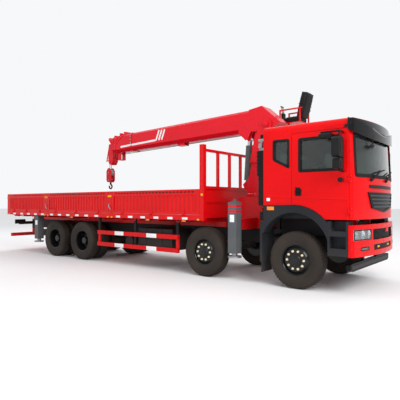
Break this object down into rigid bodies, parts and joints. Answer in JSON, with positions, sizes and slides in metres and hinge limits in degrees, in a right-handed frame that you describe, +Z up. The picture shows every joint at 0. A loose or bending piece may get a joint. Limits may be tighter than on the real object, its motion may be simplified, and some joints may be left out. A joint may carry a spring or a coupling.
{
  "type": "truck-mounted crane",
  "caption": "Flatbed truck with a slewing telescopic-boom crane between cab and load bed, steered front axles, twin rear wheels, drop gates and outriggers.",
  "frame": {"origin": "on the ground below the middle of the truck", "axes": "+X towards the truck's front, +Y to its left, +Z up"},
  "size_m": [11.92, 3.08, 4.08],
  "materials": {
    "frame": "satin dark grey paint",
    "axles": "satin dark grey paint",
    "driveline": "satin dark grey paint",
    "tanks": "satin dark grey paint",
    "side_guards": "gloss red paint",
    "rear_bumper": "gloss red paint",
    "bed_frame": "gloss red paint",
    "headboard": "gloss red paint",
    "cab_body": "gloss red paint",
    "cab_roof": "gloss red paint",
    "cab_front": "gloss red paint",
    "cab_glass": "clear pane",
    "visor": "black moulded plastic",
    "grille": "black moulded plastic",
    "front_bumper": "gloss red paint",
    "headlamps": "clear lamp lens",
    "fenders": "dark grey moulded plastic",
    "cab_interior": "woven seat cloth and soft trim",
    "air_intake": "black moulded plastic",
    "crane_base": "gloss red paint",
    "knuckle_1r": "satin dark grey paint",
    "knuckle_1l": "satin dark grey paint",
    "knuckle_2r": "satin dark grey paint",
    "knuckle_2l": "satin dark grey paint",
    "wheel_1r": "rubber tyre on a black rim",
    "wheel_1l": "rubber tyre on a black rim",
    "wheel_2r": "rubber tyre on a black rim",
    "wheel_2l": "rubber tyre on a black rim",
    "wheel_3r": "rubber tyre on a black rim",
    "wheel_3l": "rubber tyre on a black rim",
    "wheel_4r": "rubber tyre on a black rim",
    "wheel_4l": "rubber tyre on a black rim",
    "door_r": "gloss red paint",
    "door_l": "gloss red paint",
    "door_glass_r": "clear pane",
    "door_glass_l": "clear pane",
    "mirror_r": "black moulded plastic",
    "mirror_l": "black moulded plastic",
    "column": "gloss red paint",
    "operator_seat": "gloss red paint",
    "boom_base": "gloss red paint",
    "boom_2": "gloss red paint",
    "boom_3": "gloss red paint",
    "boom_4": "gloss red paint",
    "luff_barrel": "satin grey paint",
    "luff_rod": "ground steel",
    "hook_block": "gloss red paint",
    "beam_r": "satin grey paint",
    "beam_l": "satin grey paint",
    "jack_fr": "ground steel",
    "jack_fl": "ground steel",
    "jack_rr": "ground steel",
    "jack_rl": "ground steel",
    "gate_r1": "gloss red paint",
    "gate_r2": "gloss red paint",
    "gate_r3": "gloss red paint",
    "gate_l1": "gloss red paint",
    "gate_l2": "gloss red paint",
    "gate_l3": "gloss red paint",
    "tailgate": "gloss red paint"
  },
  "bodies": {
    "chassis": {"frame": "frame", "axles": "axles", "driveline": "driveline", "tanks": "tanks", "side_guards": "side_guards", "rear_bumper": "rear_bumper", "bed_frame": "bed_frame", "headboard": "headboard", "cab_body": "cab_body", "cab_roof": "cab_roof", "cab_front": "cab_front", "cab_glass": "cab_glass", "visor": "visor", "grille": "grille", "front_bumper": "front_bumper", "headlamps": "headlamps", "fenders": "fenders", "cab_interior": "cab_interior", "air_intake": "air_intake", "crane_base": "crane_base"},
    "knuckle_1r": {"knuckle_1r": "knuckle_1r"},
    "knuckle_1l": {"knuckle_1l": "knuckle_1l"},
    "knuckle_2r": {"knuckle_2r": "knuckle_2r"},
    "knuckle_2l": {"knuckle_2l": "knuckle_2l"},
    "wheel_1r": {"wheel_1r": "wheel_1r"},
    "wheel_1l": {"wheel_1l": "wheel_1l"},
    "wheel_2r": {"wheel_2r": "wheel_2r"},
    "wheel_2l": {"wheel_2l": "wheel_2l"},
    "wheel_3r": {"wheel_3r": "wheel_3r"},
    "wheel_3l": {"wheel_3l": "wheel_3l"},
    "wheel_4r": {"wheel_4r": "wheel_4r"},
    "wheel_4l": {"wheel_4l": "wheel_4l"},
    "door_r": {"door_r": "door_r", "door_glass_r": "door_glass_r", "mirror_r": "mirror_r"},
    "door_l": {"door_l": "door_l", "door_glass_l": "door_glass_l", "mirror_l": "mirror_l"},
    "column": {"column": "column", "operator_seat": "operator_seat"},
    "boom_base": {"boom_base": "boom_base"},
    "boom_2": {"boom_2": "boom_2"},
    "boom_3": {"boom_3": "boom_3"},
    "boom_4": {"boom_4": "boom_4"},
    "luff_barrel": {"luff_barrel": "luff_barrel"},
    "luff_rod": {"luff_rod": "luff_rod"},
    "hook_block": {"hook_block": "hook_block"},
    "beam_r": {"beam_r": "beam_r"},
    "beam_l": {"beam_l": "beam_l"},
    "jack_fr": {"jack_fr": "jack_fr"},
    "jack_fl": {"jack_fl": "jack_fl"},
    "jack_rr": {"jack_rr": "jack_rr"},
    "jack_rl": {"jack_rl": "jack_rl"},
    "gate_r1": {"gate_r1": "gate_r1"},
    "gate_r2": {"gate_r2": "gate_r2"},
    "gate_r3": {"gate_r3": "gate_r3"},
    "gate_l1": {"gate_l1": "gate_l1"},
    "gate_l2": {"gate_l2": "gate_l2"},
    "gate_l3": {"gate_l3": "gate_l3"},
    "tailgate": {"tailgate": "tailgate"}
  },
  "joints": [
    {"name": "steer_1l", "type": "hinge", "parent": "chassis", "child": "knuckle_1l", "pos_m": [4.71, 0.89, 0.5325], "axis": [0, 0, 1], "range_deg": [-32, 32]},
    {"name": "steer_1r", "type": "hinge", "parent": "chassis", "child": "knuckle_1r", "pos_m": [4.71, -0.89, 0.5325], "axis": [0, 0, 1], "range_deg": [-32, 32]},
    {"name": "steer_2l", "type": "hinge", "parent": "chassis", "child": "knuckle_2l", "pos_m": [2.56, 0.89, 0.5325], "axis": [0, 0, 1], "range_deg": [-23, 23]},
    {"name": "steer_2r", "type": "hinge", "parent": "chassis", "child": "knuckle_2r", "pos_m": [2.56, -0.89, 0.5325], "axis": [0, 0, 1], "range_deg": [-23, 23]},
    {"name": "spin_1l", "type": "hinge", "parent": "knuckle_1l", "child": "wheel_1l", "pos_m": [4.71, 1.0675, 0.5325], "axis": [0, 1, 0], "continuous": true},
    {"name": "spin_1r", "type": "hinge", "parent": "knuckle_1r", "child": "wheel_1r", "pos_m": [4.71, -1.0675, 0.5325], "axis": [0, 1, 0], "continuous": true},
    {"name": "spin_2l", "type": "hinge", "parent": "knuckle_2l", "child": "wheel_2l", "pos_m": [2.56, 1.0675, 0.5325], "axis": [0, 1, 0], "continuous": true},
    {"name": "spin_2r", "type": "hinge", "parent": "knuckle_2r", "child": "wheel_2r", "pos_m": [2.56, -1.0675, 0.5325], "axis": [0, 1, 0], "continuous": true},
    {"name": "spin_3l", "type": "hinge", "parent": "chassis", "child": "wheel_3l", "pos_m": [-1.83, 0.8975, 0.5325], "axis": [0, 1, 0], "continuous": true},
    {"name": "spin_3r", "type": "hinge", "parent": "chassis", "child": "wheel_3r", "pos_m": [-1.83, -0.8975, 0.5325], "axis": [0, 1, 0], "continuous": true},
    {"name": "spin_4l", "type": "hinge", "parent": "chassis", "child": "wheel_4l", "pos_m": [-3.18, 0.8975, 0.5325], "axis": [0, 1, 0], "continuous": true},
    {"name": "spin_4r", "type": "hinge", "parent": "chassis", "child": "wheel_4r", "pos_m": [-3.18, -0.8975, 0.5325], "axis": [0, 1, 0], "continuous": true},
    {"name": "door_l_swing", "type": "hinge", "parent": "chassis", "child": "door_l", "pos_m": [5.715, 1.236, 2], "axis": [0, 0, -1], "range_deg": [0, 70]},
    {"name": "door_r_swing", "type": "hinge", "parent": "chassis", "child": "door_r", "pos_m": [5.715, -1.236, 2], "axis": [0, 0, 1], "range_deg": [0, 70]},
    {"name": "slew", "type": "hinge", "parent": "chassis", "child": "column", "pos_m": [3.33, 0, 1.73], "axis": [0, 0, 1], "continuous": true},
    {"name": "luff", "type": "hinge", "parent": "column", "child": "boom_base", "pos_m": [3.556, 0, 3.33], "axis": [0, 1, 0], "range_deg": [0, 75]},
    {"name": "luff_barrel_swing", "type": "hinge", "parent": "column", "child": "luff_barrel", "pos_m": [2.93, 0, 2.02], "axis": [0, 1, 0], "range_deg": [-1, 4.83]},
    {"name": "luff_rod_slide", "type": "slide", "parent": "luff_barrel", "child": "luff_rod", "axis": [0.0681, 0, 0.9977], "range_m": [0, 0.738]},
    {"name": "extend_2", "type": "slide", "parent": "boom_base", "child": "boom_2", "axis": [-0.9997, 0, -0.0262], "range_m": [0, 3.4]},
    {"name": "extend_3", "type": "slide", "parent": "boom_2", "child": "boom_3", "axis": [-0.9997, 0, -0.0262], "range_m": [0, 3.41]},
    {"name": "extend_4", "type": "slide", "parent": "boom_3", "child": "boom_4", "axis": [-0.9997, 0, -0.0262], "range_m": [0, 3.41]},
    {"name": "hook_hang", "type": "hinge", "parent": "boom_4", "child": "hook_block", "pos_m": [-1.89349, 0, 2.85719], "axis": [0, 1, 0], "range_deg": [-75.5, 0.5]},
    {"name": "beam_r_out", "type": "slide", "parent": "chassis", "child": "beam_r", "axis": [0, -1, 0], "range_m": [0, 1.3]},
    {"name": "jack_fr_down", "type": "slide", "parent": "beam_r", "child": "jack_fr", "axis": [0, 0, -1], "range_m": [0, 0.46]},
    {"name": "beam_l_out", "type": "slide", "parent": "chassis", "child": "beam_l", "axis": [0, 1, 0], "range_m": [0, 1.3]},
    {"name": "jack_fl_down", "type": "slide", "parent": "beam_l", "child": "jack_fl", "axis": [0, 0, -1], "range_m": [0, 0.46]},
    {"name": "jack_rr_down", "type": "slide", "parent": "chassis", "child": "jack_rr", "axis": [0, 0, -1], "range_m": [0, 0.355]},
    {"name": "jack_rl_down", "type": "slide", "parent": "chassis", "child": "jack_rl", "axis": [0, 0, -1], "range_m": [0, 0.355]},
    {"name": "gate_r1_drop", "type": "hinge", "parent": "chassis", "child": "gate_r1", "pos_m": [1.01786, -1.266, 1.347], "axis": [1, 0, 0], "range_deg": [0, 160]},
    {"name": "gate_r2_drop", "type": "hinge", "parent": "chassis", "child": "gate_r2", "pos_m": [-2.01443, -1.266, 1.347], "axis": [1, 0, 0], "range_deg": [0, 160]},
    {"name": "gate_r3_drop", "type": "hinge", "parent": "chassis", "child": "gate_r3", "pos_m": [-4.6968, -1.266, 1.347], "axis": [1, 0, 0], "range_deg": [0, 160]},
    {"name": "gate_l1_drop", "type": "hinge", "parent": "chassis", "child": "gate_l1", "pos_m": [1.01786, 1.266, 1.347], "axis": [-1, 0, 0], "range_deg": [0, 160]},
    {"name": "gate_l2_drop", "type": "hinge", "parent": "chassis", "child": "gate_l2", "pos_m": [-2.01443, 1.266, 1.347], "axis": [-1, 0, 0], "range_deg": [0, 160]},
    {"name": "gate_l3_drop", "type": "hinge", "parent": "chassis", "child": "gate_l3", "pos_m": [-4.6968, 1.266, 1.347], "axis": [-1, 0, 0], "range_deg": [0, 160]},
    {"name": "tailgate_drop", "type": "hinge", "parent": "chassis", "child": "tailgate", "pos_m": [-5.948, 0, 1.347], "axis": [0, -1, 0], "range_deg": [0, 160]}
  ],
  "couplings": [
    {"joint": "steer_1r", "follows": "steer_1l", "ratio": 1},
    {"joint": "steer_2l", "follows": "steer_1l", "ratio": 0.7},
    {"joint": "steer_2r", "follows": "steer_1l", "ratio": 0.7},
    {"joint": "luff_barrel_swing", "follows": "luff", "ratio": 0.05102},
    {"joint": "luff_rod_slide", "follows": "luff", "m_per_rad": 0.56045},
    {"joint": "extend_3", "follows": "extend_2", "ratio": 1},
    {"joint": "extend_4", "follows": "extend_2", "ratio": 1},
    {"joint": "hook_hang", "follows": "luff", "ratio": -1}
  ]
}
